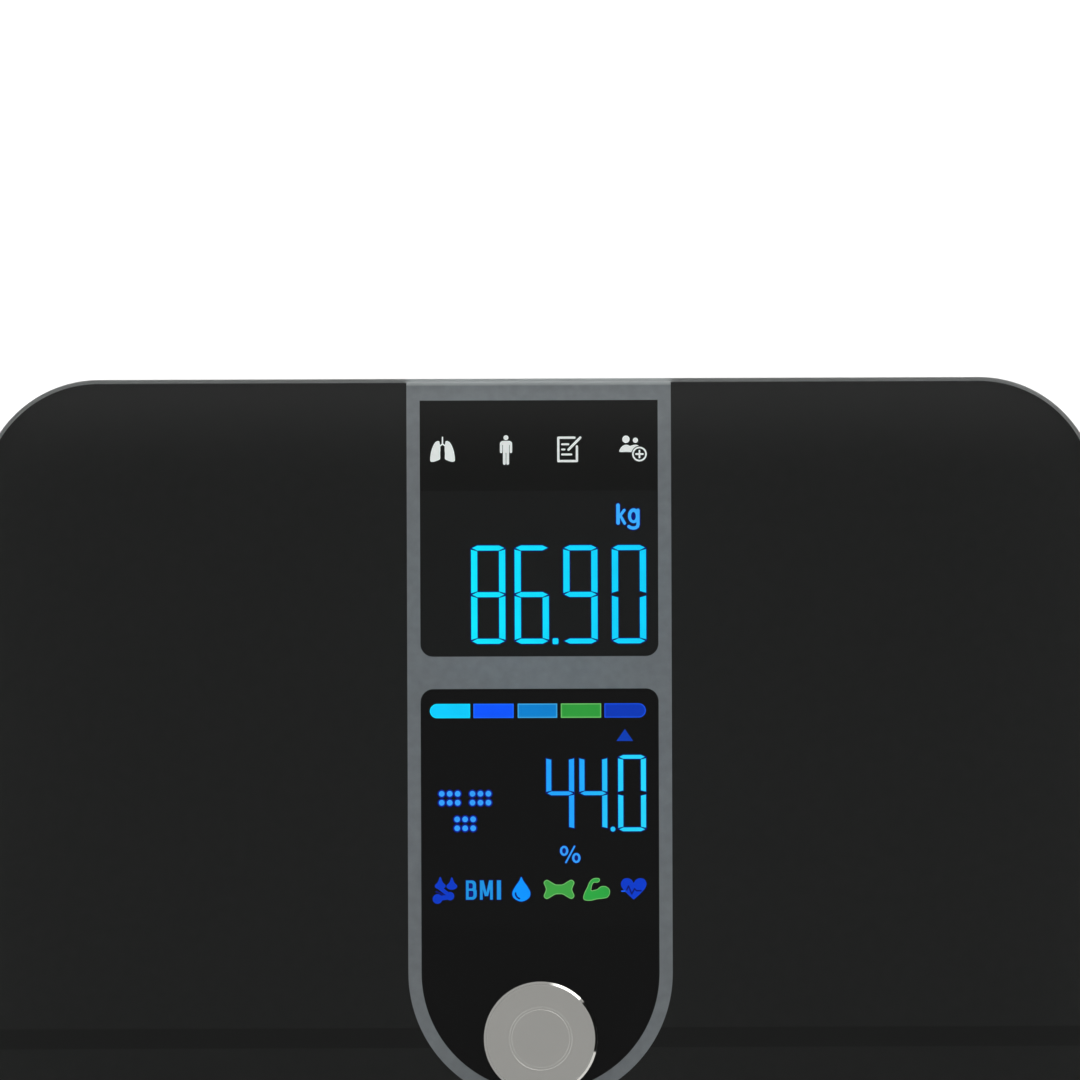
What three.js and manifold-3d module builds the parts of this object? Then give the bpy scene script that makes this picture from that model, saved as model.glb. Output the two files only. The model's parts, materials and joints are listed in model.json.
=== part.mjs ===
// A digital body-composition bathroom scale: a tempered-glass platform with two display windows and a round
// metal badge, a two-part plastic body, four load-cell feet, four AAA cells behind a hinged door, and a unit
// button below.
// Millimetres, +Z up. The origin is the middle of the footprint on the floor. +Y points to the display end.
import * as THREE from "three";
import { mergeVertices } from "three/addons/utils/BufferGeometryUtils.js";
import Module from "manifold-3d";

const wasm = await Module();
wasm.setup();

// ---------------------------------------------------------------- driving dimensions
const PLATFORM = { width: 280, depth: 330, radius: 30, arris: 1 };
const BODY = { inset: 7, wall: 2.4, chamfer: 3, edge: 0.5 };
const PRINT_INSET = 0.7; // from the glass edge to the edge of the print under it
const STACK_GAP = 0.05; // glue line or contact gap between pieces that lie on each other
const RUN_GAP = 0.4; // gap round a piece that moves or drops into a recess

// Heights above the floor, from the bottom up.
const Z = {
  baseBottom: 4,
  basePlate: 6.2,
  seam: 10,
  framePlate: 18.7,
  frameTop: 20.7,
  tapeTop: 21.65,
  maskBottom: 21.7,
  glassBottom: 22,
  glassTop: 28,
  badgeBottom: 28.2,
  badgeTop: 29.2,
};

// The display column: two windows in the print, the lower one ending in a half circle round the badge.
const BADGE = { radius: 14.25, bevel: 0.65 };
const COLUMN = { windowHalf: 29.8, endY: 16.2, cornerRadius: 3.2 };
const UPPER_WINDOW = { bottom: 95.45, top: 159.6 };
const LOWER_WINDOW = { top: 87.35 };
const UPPER_LCD = { bottom: 92.5, top: 137 };
const LOWER_LCD = { bottom: 27.7, top: 90.5 };
const LCD = { width: 64, thickness: 2.8 };
const BEZEL = { width: 72, bottom: 21.3, top: 143.3, low: 12.7, high: 18.6, rim: 2.6 };
const BOARD = { width: 66, bottom: 25, top: 139, low: 11, thickness: 1.6 };

const FOOT = { x: 104, y: 129, radius: 21, padRadius: 18.2, plunger: 3.5, travel: 0.5 };
const WELL = { inner: 22.5, outer: 24.3, top: 13.4, shelfLow: 8.6, shelfHigh: 9.9, shelfInner: 11 };
const LOAD_CELL = { size: 30, radius: 5, thickness: 2, low: 10 };

const BATTERY = { radius: 5.1, length: 43.3, nubRadius: 1.9, nub: 1, pitch: 11, z: 11.35, count: 4 };
const CONTACT = { size: 8.4, thickness: 0.35, wallGap: 0.1, wire: 0.35 };
const BAY = { x: 0, y: -70, width: 46, depth: 51, roof: 17, wall: 1.5 };
const DOOR = { width: 52, depth: 59, thickness: 1.6, tongueWidth: 12 };
const TAB = { x: 14, width: 6, reach: 1.8, thickness: 0.65, lip: 0.8 };
const BUTTON = { x: 0, y: 44, radius: 4.8, flange: 6.8, recess: 0.5 };
const SCREW = { head: 2.7, shank: 1.35, headLow: 5.6, headHigh: 7.2, tip: 16, slot: 0.8, slotDepth: 0.9 };
const SCREW_PLACES = [
  [60, 148],
  [123, 70],
].flatMap(([x, y]) => [[-x, -y], [x, -y], [-x, y], [x, y]]);
const WIRE_RADIUS = 0.9;

// ---------------------------------------------------------------- materials
const finish = (color, roughness, metalness = 0) =>
  new THREE.MeshStandardMaterial({ color, roughness, metalness });
const MATERIAL = {
  glass: finish(0x1b1d1c, 0.05),
  ink: finish(0x0a0a0b, 0.35),
  foam: finish(0x26272a, 0.95),
  abs: finish(0x161718, 0.55),
  badge: finish(0xa6a49d, 0.32, 1),
  lcd: finish(0x07080a, 0.08),
  lightBox: finish(0xe9edf0, 0.6),
  bezel: finish(0xd9dad6, 0.6),
  board: finish(0x14502f, 0.45),
  chip: finish(0x121314, 0.5),
  button: finish(0x2a2c2e, 0.5),
  cell: finish(0xc9a23a, 0.35, 0.6),
  contact: finish(0xc8cacc, 0.25, 1),
  steel: finish(0x8f9396, 0.35, 1),
  wire: finish(0xd8d8d4, 0.6),
  rubber: finish(0x1c1c1c, 0.9),
  screw: finish(0x3a3c3f, 0.4, 1),
};

// ---------------------------------------------------------------- shapes and solids
// A rectangle centred on (x, y) with rounded corners.
function roundedRect(width, depth, radius, x = 0, y = 0) {
  const [w, d] = [width / 2 - radius, depth / 2 - radius];
  const shape = new THREE.Shape();
  shape.absarc(x + w, y - d, radius, -Math.PI / 2, 0);
  shape.absarc(x + w, y + d, radius, 0, Math.PI / 2);
  shape.absarc(x - w, y + d, radius, Math.PI / 2, Math.PI);
  shape.absarc(x - w, y - d, radius, Math.PI, 1.5 * Math.PI);
  return shape.closePath();
}

function polygon(points) {
  return new THREE.Shape(points.map(([x, y]) => new THREE.Vector2(x, y)));
}

// A flat-sided prism of a shape between two heights.
function slab(shape, low, high, curveSegments = 8) {
  const settings = { depth: high - low, bevelEnabled: false, curveSegments };
  return new THREE.ExtrudeGeometry(shape, settings).translate(0, 0, low);
}

// A rounded-rectangle slab whose top and bottom edges are chamfered (steps 1) or rounded off (more steps).
function roundedSlab(width, depth, radius, low, high, edge, steps) {
  const geometry = new THREE.ExtrudeGeometry(roundedRect(width - 2 * edge, depth - 2 * edge, radius - edge), {
    depth: high - low - 2 * edge,
    bevelSize: edge,
    bevelThickness: edge,
    bevelSegments: steps,
    curveSegments: 12,
  });
  return geometry.translate(0, 0, low + edge);
}

// A box between two corners.
function block([x0, y0, z0], [x1, y1, z1]) {
  const geometry = new THREE.BoxGeometry(x1 - x0, y1 - y0, z1 - z0);
  return geometry.translate((x0 + x1) / 2, (y0 + y1) / 2, (z0 + z1) / 2);
}

function cylinder(radius, low, high, x = 0, y = 0, segments = 32) {
  const geometry = new THREE.CylinderGeometry(radius, radius, high - low, segments);
  return geometry.rotateX(Math.PI / 2).translate(x, y, (low + high) / 2);
}

// A solid of revolution about Z from [radius, height] pairs that start and end on the axis, bottom first.
function turned(profile, segments = 40) {
  const points = profile.map(([r, z]) => new THREE.Vector2(r, z));
  return new THREE.LatheGeometry(points, segments).rotateX(Math.PI / 2);
}

function toSolid(geometry) {
  const bare = geometry.clone();
  bare.deleteAttribute("normal");
  bare.deleteAttribute("uv");
  const merged = mergeVertices(bare, 1e-4);
  return new wasm.Manifold(
    new wasm.Mesh({
      numProp: 3,
      vertProperties: new Float32Array(merged.attributes.position.array),
      triVerts: new Uint32Array(merged.index.array),
    }),
  );
}

function toGeometry(solid) {
  const mesh = solid.getMesh();
  const geometry = new THREE.BufferGeometry();
  geometry.setAttribute("position", new THREE.BufferAttribute(mesh.vertProperties, 3));
  geometry.setIndex(new THREE.BufferAttribute(mesh.triVerts, 1));
  geometry.computeVertexNormals();
  return geometry;
}

const fuse = (first, ...others) => others.map(toSolid).reduce((a, b) => a.add(b), first);
const join = (first, ...others) => fuse(toSolid(first), ...others);
const cut = (solid, ...geometries) => geometries.map(toSolid).reduce((a, b) => a.subtract(b), solid);

// ---------------------------------------------------------------- assembly
const scale = new THREE.Group();

function add(name, geometry, material, [x, y, z] = [0, 0, 0]) {
  const mesh = new THREE.Mesh(geometry, material);
  mesh.name = name;
  mesh.position.set(x, y, z);
  scale.add(mesh);
  return mesh;
}

const bodyWidth = PLATFORM.width - 2 * BODY.inset;
const bodyDepth = PLATFORM.depth - 2 * BODY.inset;
const bodyRadius = PLATFORM.radius - BODY.inset;
const corners = [-1, 1].flatMap((sy) =>
  [-1, 1].map((sx) => ({ sx, sy, tag: `${sy < 0 ? "front" : "back"}_${sx < 0 ? "left" : "right"}` })),
);

// ---------------------------------------------------------------- glass, ink and badge
function addGlass() {
  const { width, depth, radius, arris } = PLATFORM;
  const glass = roundedSlab(width, depth, radius, Z.glassBottom, Z.glassTop, arris, 1);
  add("glass_platform", glass, MATERIAL.glass);
}

// The opaque print on the underside of the glass, as a film with the two display windows left out.
function addPrintedMask() {
  const { windowHalf, endY, cornerRadius } = COLUMN;
  const mask = roundedRect(
    PLATFORM.width - 2 * PRINT_INSET,
    PLATFORM.depth - 2 * PRINT_INSET,
    PLATFORM.radius - PRINT_INSET,
  );
  const upper = new THREE.Path();
  upper.moveTo(windowHalf, UPPER_WINDOW.top).lineTo(-windowHalf, UPPER_WINDOW.top);
  const cornerX = windowHalf - cornerRadius;
  const [upperY, lowerY] = [UPPER_WINDOW.bottom + cornerRadius, LOWER_WINDOW.top - cornerRadius];
  upper.absarc(-cornerX, upperY, cornerRadius, Math.PI, 1.5 * Math.PI);
  upper.absarc(cornerX, upperY, cornerRadius, -Math.PI / 2, 0);
  const lower = new THREE.Path();
  lower.absarc(cornerX, lowerY, cornerRadius, 0, Math.PI / 2);
  lower.absarc(-cornerX, lowerY, cornerRadius, Math.PI / 2, Math.PI);
  lower.absarc(0, endY, windowHalf, Math.PI, 2 * Math.PI);
  mask.holes.push(upper.closePath(), lower.closePath());
  add("printed_mask", slab(mask, Z.maskBottom, Z.glassBottom - STACK_GAP), MATERIAL.ink);
}

function addBadge() {
  const { radius, bevel } = BADGE;
  const thickness = Z.badgeTop - Z.badgeBottom;
  const profile = [
    [0, 0],
    [radius, 0],
    [radius, thickness - 0.6 * bevel],
    [radius - bevel, thickness],
    [0, thickness],
  ];
  add("centre_badge", turned(profile, 64), MATERIAL.badge, [0, 0, Z.badgeBottom]);
  const tape = cylinder(radius - bevel, Z.glassTop + STACK_GAP, Z.badgeBottom - STACK_GAP);
  add("badge_tape", tape, MATERIAL.foam);
}

// The foam tape that bonds the glass to the top frame, and the foam gasket round the displays.
function addTapes() {
  const ring = roundedRect(bodyWidth - 4, bodyDepth - 4, bodyRadius - 2);
  ring.holes.push(roundedRect(bodyWidth - 20, bodyDepth - 20, bodyRadius - 10));
  add("glass_tape", slab(ring, Z.frameTop + STACK_GAP, Z.tapeTop), MATERIAL.foam);
  const [width, depth, y] = [BEZEL.width + 4, BEZEL.top - BEZEL.bottom + 4, (BEZEL.top + BEZEL.bottom) / 2];
  const gasket = roundedRect(width, depth, 4, 0, y);
  gasket.holes.push(roundedRect(width - 8, depth - 8, 2, 0, y));
  add("display_gasket", slab(gasket, Z.frameTop + STACK_GAP, Z.tapeTop, 4), MATERIAL.foam);
}

// ---------------------------------------------------------------- body shells
// The upper shell: a shallow inverted tray with a display opening, stiffening ribs and a boss for each screw.
function addTopFrame() {
  const skirtLow = Z.seam + 0.1;
  const [innerWidth, innerDepth, innerRadius] = [bodyWidth, bodyDepth, bodyRadius].map(
    (size, i) => size - BODY.wall * (i < 2 ? 2 : 1),
  );
  const ribLow = 15;
  const ribThickness = 1.6;
  const lengthRibs = [-80, -50, 50, 80].map((x) =>
    block([x, -innerDepth / 2 - 1, ribLow], [x + ribThickness, innerDepth / 2 + 1, Z.framePlate + 1]),
  );
  const crossRibs = [-120, -20, 8].map((y) =>
    block([-innerWidth / 2 - 1, y, ribLow], [innerWidth / 2 + 1, y + ribThickness, Z.framePlate + 1]),
  );
  const bossRadius = 3.8;
  const bosses = SCREW_PLACES.map(([x, y]) =>
    cylinder(bossRadius, skirtLow, Z.framePlate + 1, x, y, 16),
  );
  const shell = roundedSlab(bodyWidth, bodyDepth, bodyRadius, skirtLow, Z.frameTop, BODY.edge, 1);
  const tray = cut(
    toSolid(shell),
    slab(roundedRect(innerWidth, innerDepth, innerRadius), skirtLow - 1, Z.framePlate),
  );
  const ribbed = fuse(tray, ...lengthRibs, ...crossRibs, ...bosses);
  const openingY = (BEZEL.top + BEZEL.bottom) / 2;
  const opening = slab(
    roundedRect(BEZEL.width - 4, BEZEL.top - BEZEL.bottom - 4, 2, 0, openingY),
    Z.framePlate - 1,
    Z.frameTop + 1,
    4,
  );
  const pilotRadius = SCREW.shank + 0.15;
  const pilots = SCREW_PLACES.map(([x, y]) => cylinder(pilotRadius, skirtLow - 1, SCREW.tip + 0.6, x, y, 12));
  add("top_frame", toGeometry(cut(ribbed, opening, ...pilots)), MATERIAL.abs);
}

// The lower shell: a chamfered tray with four foot wells, the battery bay, a button hole and the screw posts.
function addBaseCover() {
  const { chamfer, wall } = BODY;
  const shell = roundedSlab(bodyWidth, bodyDepth, bodyRadius, Z.baseBottom, 2 * Z.seam, chamfer, 2);
  const aboveSeam = block([-bodyWidth, -bodyDepth, Z.seam], [bodyWidth, bodyDepth, 4 * Z.seam]);
  const side = chamfer + wall;
  const cavity = slab(
    roundedRect(bodyWidth - 2 * side, bodyDepth - 2 * side, bodyRadius - side),
    Z.basePlate,
    Z.seam + 1,
  );
  const low = Z.basePlate - 1;
  const [postRadius, guideHigh, collarHigh] = [4.4, 8.6, 7.4];
  const posts = SCREW_PLACES.map(([x, y]) => cylinder(postRadius, low, Z.seam, x, y, 12));
  const wells = corners.map(({ sx, sy }) =>
    cylinder(WELL.outer, low, WELL.top, sx * FOOT.x, sy * FOOT.y, 32),
  );
  const guide = cylinder(BUTTON.flange + 1.6, low, guideHigh, BUTTON.x, BUTTON.y, 24);
  const collar = slab(roundedRect(DOOR.width + 4, DOOR.depth + 8, 3, BAY.x, BAY.y), low, collarHigh, 3);
  const box = slab(
    roundedRect(BAY.width + 2 * BAY.wall, BAY.depth + 2 * BAY.wall, 2.5, BAY.x, BAY.y),
    low,
    BAY.roof + 1.2,
    3,
  );
  const solid = fuse(cut(toSolid(shell), aboveSeam, cavity), ...posts, ...wells, guide, collar, box);
  const holes = [...footHoles(), ...screwHoles(), ...buttonHole(), ...bayHoles()];
  add("base_cover", toGeometry(cut(solid, ...holes)), MATERIAL.abs);
}

// Each foot well is open below for the foot cup, has a shelf for the load cell, and a slot for its wires.
function footHoles() {
  return corners.flatMap(({ sx, sy }) => {
    const [x, y] = [sx * FOOT.x, sy * FOOT.y];
    const slotX = [x - sx * WELL.inner, x - sx * (WELL.outer + 1)].sort((a, b) => a - b);
    return [
      cylinder(FOOT.radius + 2 * RUN_GAP, Z.baseBottom - 1, WELL.shelfLow, x, y, 36),
      cylinder(WELL.shelfInner, WELL.shelfLow - 1, WELL.shelfHigh + 1, x, y, 16),
      cylinder(WELL.inner, WELL.shelfHigh, WELL.top + 1, x, y, 32),
      block([slotX[0] - 1, y - 2, WELL.shelfHigh], [slotX[1] + 1, y + 2, WELL.top + 1]),
    ];
  });
}

function screwHoles() {
  return SCREW_PLACES.flatMap(([x, y]) => [
    cylinder(SCREW.head + RUN_GAP, Z.baseBottom - 1, SCREW.headHigh + STACK_GAP, x, y, 12),
    cylinder(SCREW.shank + 0.3, SCREW.headHigh, Z.seam + 1, x, y, 8),
  ]);
}

function buttonHole() {
  return [
    cylinder(BUTTON.radius + RUN_GAP, Z.baseBottom - 1, Z.basePlate + 1, BUTTON.x, BUTTON.y, 24),
    cylinder(BUTTON.flange + RUN_GAP, Z.basePlate, 9, BUTTON.x, BUTTON.y, 24),
  ];
}

// The bay with the recess for its door, two slots for the door's tabs and one for its snap nose.
function bayHoles() {
  const recess = roundedRect(DOOR.width + 2 * RUN_GAP, DOOR.depth + 2 * RUN_GAP, 2 + RUN_GAP, BAY.x, BAY.y);
  const hingeY = BAY.y + DOOR.depth / 2;
  const latchY = BAY.y - DOOR.depth / 2;
  const slotLow = Z.baseBottom + TAB.lip;
  const slotHalf = TAB.width / 2 + RUN_GAP;
  const tabSlots = [-TAB.x, TAB.x].map((x) =>
    block([x - slotHalf, hingeY - 2.4, slotLow], [x + slotHalf, hingeY + 2.4, 8]),
  );
  return [
    slab(roundedRect(BAY.width, BAY.depth, 1, BAY.x, BAY.y), Z.baseBottom - 1, BAY.roof, 2),
    slab(recess, Z.baseBottom - 1, Z.baseBottom + DOOR.thickness + 0.1, 4),
    ...tabSlots,
    block([-DOOR.tongueWidth / 2, latchY - 1.8, slotLow], [DOOR.tongueWidth / 2, latchY + 1, 6.6]),
  ];
}

// ---------------------------------------------------------------- battery bay
// A thin door with two hook tabs at its hinge edge. At its other edge a tongue, freed by two slits, carries a
// snap nose that is drawn pressed in, clear of its lip.
function addBatteryDoor() {
  const { width, depth, thickness, tongueWidth } = DOOR;
  const edge = depth / 2;
  const under = thickness - TAB.thickness;
  const tabHalf = TAB.width / 2;
  const tabs = [-TAB.x, TAB.x].map((x) =>
    block([x - tabHalf, edge - 1, under], [x + tabHalf, edge + TAB.reach, thickness]),
  );
  const nose = block([2 - tongueWidth / 2, -edge - 0.25, under], [tongueWidth / 2 - 2, 1 - edge, thickness]);
  const slits = [-1, 1].map((s) => {
    const x = (s * tongueWidth) / 2;
    return block([x - 0.4, -edge - 1, -1], [x + 0.4, 9 - edge, thickness + 1]);
  });
  const grooves = [2.4, 4, 5.6].map((y) => block([-4, y - edge, -1], [4, y + 0.8 - edge, 0.4]));
  const leaf = slab(roundedRect(width, depth, 2), 0, thickness, 4);
  const door = cut(join(leaf, ...tabs, nose), ...slits, ...grooves);
  add("battery_door", toGeometry(door), MATERIAL.abs, [BAY.x, BAY.y, Z.baseBottom]);
}

// Four cells lie along Y, side by side, each turned the other way from its neighbour. A flat contact meets
// each positive nub, and a conical spring presses on each negative end.
function addBatteries() {
  const { radius, length, nub, nubRadius, pitch, z, count } = BATTERY;
  const { size, thickness, wallGap } = CONTACT;
  const bayHalf = BAY.depth / 2;
  const nubInset = wallGap + thickness + STACK_GAP;
  const springHeight = BAY.depth - nubInset - length - nub - wallGap - STACK_GAP;
  const shoulder = 0.6;
  const profile = [
    [0, 0],
    [radius - shoulder, 0],
    [radius, shoulder],
    [radius, length - shoulder],
    [radius - shoulder, length],
    [nubRadius, length],
    [nubRadius, length + nub],
    [0, length + nub],
  ];
  for (let i = 0; i < count; i++) {
    const facing = i % 2 ? -1 : 1;
    const x = BAY.x + (i - (count - 1) / 2) * pitch;
    const towards = (-facing * Math.PI) / 2;
    const nubEnd = BAY.y + facing * (bayHalf - nubInset);
    const cellStart = [x, nubEnd - facing * (length + nub), z];
    add(`battery_${i + 1}`, turned(profile, 20), MATERIAL.cell, cellStart).rotation.x = towards;
    const plate = new THREE.BoxGeometry(size, thickness, size);
    const plateY = BAY.y + facing * (bayHalf - wallGap - thickness / 2);
    add(`battery_contact_${i + 1}`, plate, MATERIAL.contact, [x, plateY, z]);
    const springStart = [x, BAY.y - facing * (bayHalf - wallGap), z];
    const spring = add(`battery_spring_${i + 1}`, conicalSpring(springHeight), MATERIAL.contact, springStart);
    spring.rotation.x = towards;
  }
}

// A wire coil along +Z that narrows towards its free end.
function conicalSpring(height) {
  const [turns, wide, narrow, sides, steps] = [3, 3.5, 2.1, 5, 36];
  const { wire } = CONTACT;
  const points = [];
  for (let i = 0; i <= steps; i++) {
    const t = i / steps;
    const angle = t * turns * 2 * Math.PI;
    const r = wide + (narrow - wide) * t;
    points.push(new THREE.Vector3(r * Math.cos(angle), r * Math.sin(angle), wire + t * (height - 2 * wire)));
  }
  return sweep(points, wire, sides, steps);
}

// A round wire of a given radius along smooth points.
function sweep(points, radius, sides, steps) {
  const ring = Array.from({ length: sides }, (_, i) => {
    const angle = (i / sides) * 2 * Math.PI;
    return [radius * Math.cos(angle), radius * Math.sin(angle)];
  });
  return new THREE.ExtrudeGeometry(polygon(ring), { steps, extrudePath: new THREE.CatmullRomCurve3(points) });
}

// ---------------------------------------------------------------- display and electronics
function addDisplays() {
  const lightLow = BEZEL.low + 0.1;
  const lightInset = 4;
  const lightWidth = LCD.width - lightInset - 1;
  for (const [name, { bottom, top }] of Object.entries({ upper: UPPER_LCD, lower: LOWER_LCD })) {
    const lcdTop = Z.maskBottom - 0.1;
    const lcd = block([-LCD.width / 2, bottom, lcdTop - LCD.thickness], [LCD.width / 2, top, lcdTop]);
    add(`${name}_lcd`, lcd, MATERIAL.lcd);
    const light = block(
      [-lightWidth / 2, bottom + lightInset, lightLow],
      [lightWidth / 2, top - lightInset, BEZEL.high + STACK_GAP],
    );
    add(`${name}_backlight`, light, MATERIAL.lightBox);
  }
  const middleY = (BEZEL.top + BEZEL.bottom) / 2;
  const outline = roundedRect(BEZEL.width, BEZEL.top - BEZEL.bottom, 3, 0, middleY);
  const frame = slab(outline, BEZEL.low, BEZEL.high, 4);
  const half = LCD.width / 2 - BEZEL.rim + 0.6;
  const pockets = [UPPER_LCD, LOWER_LCD].map(({ bottom, top }) =>
    block([-half, bottom + BEZEL.rim, 0], [half, top - BEZEL.rim, 40]),
  );
  add("display_bezel", toGeometry(cut(toSolid(frame), ...pockets)), MATERIAL.bezel);
}

function addElectronics() {
  const { width, bottom, top, low, thickness } = BOARD;
  const board = slab(roundedRect(width, top - bottom, 2, 0, (top + bottom) / 2), low, low + thickness, 3);
  add("main_board", board, MATERIAL.board);
  const under = low - STACK_GAP;
  add("controller_chip", block([5, 80, under - 1.4], [15, 90, under]), MATERIAL.chip);
  add("radio_module", block([-24, 104, under - 2], [-12, 120, under]), MATERIAL.chip);
  const switchBody = block([BUTTON.x - 3, BUTTON.y - 3, 9.6], [BUTTON.x + 3, BUTTON.y + 3, under]);
  const plunger = cylinder(1.5, 9, 9.7, BUTTON.x, BUTTON.y, 16);
  add("unit_switch", toGeometry(join(switchBody, plunger)), MATERIAL.chip);
}

// The push button that cycles the weight unit: its cap shows through the base, its flange keeps it in.
function addUnitButton() {
  const { radius, flange, recess } = BUTTON;
  const low = Z.baseBottom + recess;
  const flangeLow = Z.basePlate + 0.1;
  const tip = [2, 8.1];
  const profile = [
    [0, low],
    [radius - 0.4, low],
    [radius, low + 0.4],
    [radius, flangeLow],
    [flange, flangeLow],
    [flange, flangeLow + 1],
    [tip[0], flangeLow + 1],
    tip,
    [0, tip[1]],
  ];
  add("unit_button", turned(profile, 28), MATERIAL.button, [BUTTON.x, BUTTON.y, 0]);
}

// ---------------------------------------------------------------- feet and load cells
// Each foot is a plastic cup, with a plunger that meets the load cell and a flat rubber pad below.
function addFeet() {
  const { radius, padRadius, plunger, travel } = FOOT;
  const [rimLow, padTop, cupTop] = [0.9, 1.55, 7.4];
  const plungerTop = LOAD_CELL.low - travel - 0.1;
  const padProfile = [[0, 0], [padRadius - 0.8, 0], [padRadius, 0.8], [padRadius, padTop], [0, padTop]];
  const cupProfile = [
    [0, padTop + STACK_GAP],
    [padRadius + 0.4, padTop + STACK_GAP],
    [padRadius + 0.4, rimLow],
    [radius - 1, rimLow],
    [radius, rimLow + 1.1],
    [radius, cupTop],
    [plunger, cupTop],
    [plunger, plungerTop],
    [0, plungerTop],
  ];
  for (const { sx, sy, tag } of corners) {
    const [x, y] = [sx * FOOT.x, sy * FOOT.y];
    add(`foot_pad_${tag}`, turned(padProfile, 36), MATERIAL.rubber, [x, y, 0]);
    add(`foot_cup_${tag}`, turned(cupProfile, 36), MATERIAL.abs, [x, y, 0]);
    addLoadCell(tag, x, y);
  }
}

// A stamped steel load cell: a square frame whose centre tongue takes the foot's plunger, held by a ring.
function addLoadCell(tag, x, y) {
  const { size, radius, thickness, low } = LOAD_CELL;
  const [high, window, tongue, tongueEnd] = [low + thickness, 10, 5, 6];
  const cell = cut(
    toSolid(slab(roundedRect(size, size, radius), low, high, 4)),
    block([-window, -window, low - 1], [-tongue, tongueEnd, high + 1]),
    block([tongue, -window, low - 1], [window, tongueEnd, high + 1]),
    block([-window, tongueEnd, low - 1], [window, window, high + 1]),
  );
  add(`load_cell_${tag}`, toGeometry(cell), MATERIAL.steel, [x, y, 0]);
  const ring = roundedRect(2 * WELL.inner - 0.8, 2 * WELL.inner - 0.8, WELL.inner - 0.4);
  ring.holes.push(roundedRect(26, 26, 13));
  const ringLow = high + 0.1;
  add(`load_cell_retainer_${tag}`, slab(ring, ringLow, WELL.top, 6), MATERIAL.abs, [x, y, 0]);
}

// The wires from each load cell run over its shelf, through the slot in its well, and end under the board.
function addWires() {
  const shared = [[88, 129, 11], [80.5, 129, 11], [71, 126, 9.9]];
  const onward = {
    back: [[60, 118, 8.6], [48, 108, 8.2], [40, 101, 8.4], [34, 96, 9.2], [29, 94, 9.8]],
    front: [[60, -104, 8.4], [50, -60, 8.2], [43, -5, 8.2], [37, 35, 8.8], [29, 60, 9.8]],
  };
  for (const { sx, sy, tag } of corners) {
    const start = shared.map(([x, y, z]) => [x, sy * y, z]);
    const points = [...start, ...onward[sy < 0 ? "front" : "back"]];
    const path = points.map(([x, y, z]) => new THREE.Vector3(sx * x, y, z));
    add(`load_cell_wire_${tag}`, sweep(path, WIRE_RADIUS, 6, 32), MATERIAL.wire);
  }
}

// Pan-head screws with a cross recess.
function addScrews() {
  const { head, shank, headLow, headHigh, tip, slot, slotDepth } = SCREW;
  const seat = headHigh - STACK_GAP;
  const profile = [[0, headLow], [head, headLow], [head, seat], [shank, seat], [shank, tip], [0, tip]];
  const [half, arm] = [slot / 2, 1.6];
  const cross = [
    block([-arm, -half, headLow - 1], [arm, half, headLow + slotDepth]),
    block([-half, -arm, headLow - 1], [half, arm, headLow + slotDepth]),
  ];
  const screw = toGeometry(cut(toSolid(turned(profile, 20)), ...cross));
  SCREW_PLACES.forEach(([x, y], i) => add(`case_screw_${i + 1}`, screw, MATERIAL.screw, [x, y, 0]));
}

addGlass();
addPrintedMask();
addBadge();
addTapes();
addTopFrame();
addBaseCover();
addBatteryDoor();
addBatteries();
addDisplays();
addElectronics();
addUnitButton();
addFeet();
addWires();
addScrews();

export default scale;
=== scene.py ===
"""Looks for a digital bathroom scale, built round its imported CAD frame.

Shapes are given in millimetres and made in metres. +Y points to the display end and +Z up.
"""

import math
import json

import bpy
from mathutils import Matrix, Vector
from mathutils.geometry import delaunay_2d_cdt


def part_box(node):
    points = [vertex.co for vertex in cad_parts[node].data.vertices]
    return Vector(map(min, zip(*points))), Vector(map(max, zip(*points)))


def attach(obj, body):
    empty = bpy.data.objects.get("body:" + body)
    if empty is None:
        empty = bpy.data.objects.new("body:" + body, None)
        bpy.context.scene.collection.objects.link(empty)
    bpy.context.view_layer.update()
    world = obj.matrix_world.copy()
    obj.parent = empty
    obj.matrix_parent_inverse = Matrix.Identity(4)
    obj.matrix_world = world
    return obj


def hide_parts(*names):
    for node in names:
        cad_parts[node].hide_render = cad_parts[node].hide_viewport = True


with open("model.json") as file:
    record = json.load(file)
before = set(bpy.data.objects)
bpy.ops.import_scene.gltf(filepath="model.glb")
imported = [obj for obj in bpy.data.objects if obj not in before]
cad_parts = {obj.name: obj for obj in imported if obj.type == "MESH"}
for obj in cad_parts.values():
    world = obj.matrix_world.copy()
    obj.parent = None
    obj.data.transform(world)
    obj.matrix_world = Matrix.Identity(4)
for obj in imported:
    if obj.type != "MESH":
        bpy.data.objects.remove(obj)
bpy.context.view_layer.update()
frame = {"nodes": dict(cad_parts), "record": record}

MM = 0.001
ROOT = "platform"


# ---------------------------------------------------------------- node graphs and materials
def srgb(red, green, blue):
    """A display colour, 0 to 255 a channel, as linear values."""

    def linear(channel):
        return channel / 3294.6 if channel < 10.3 else ((channel / 255 + 0.055) / 1.055) ** 2.4

    return tuple(linear(channel) for channel in (red, green, blue))


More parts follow.
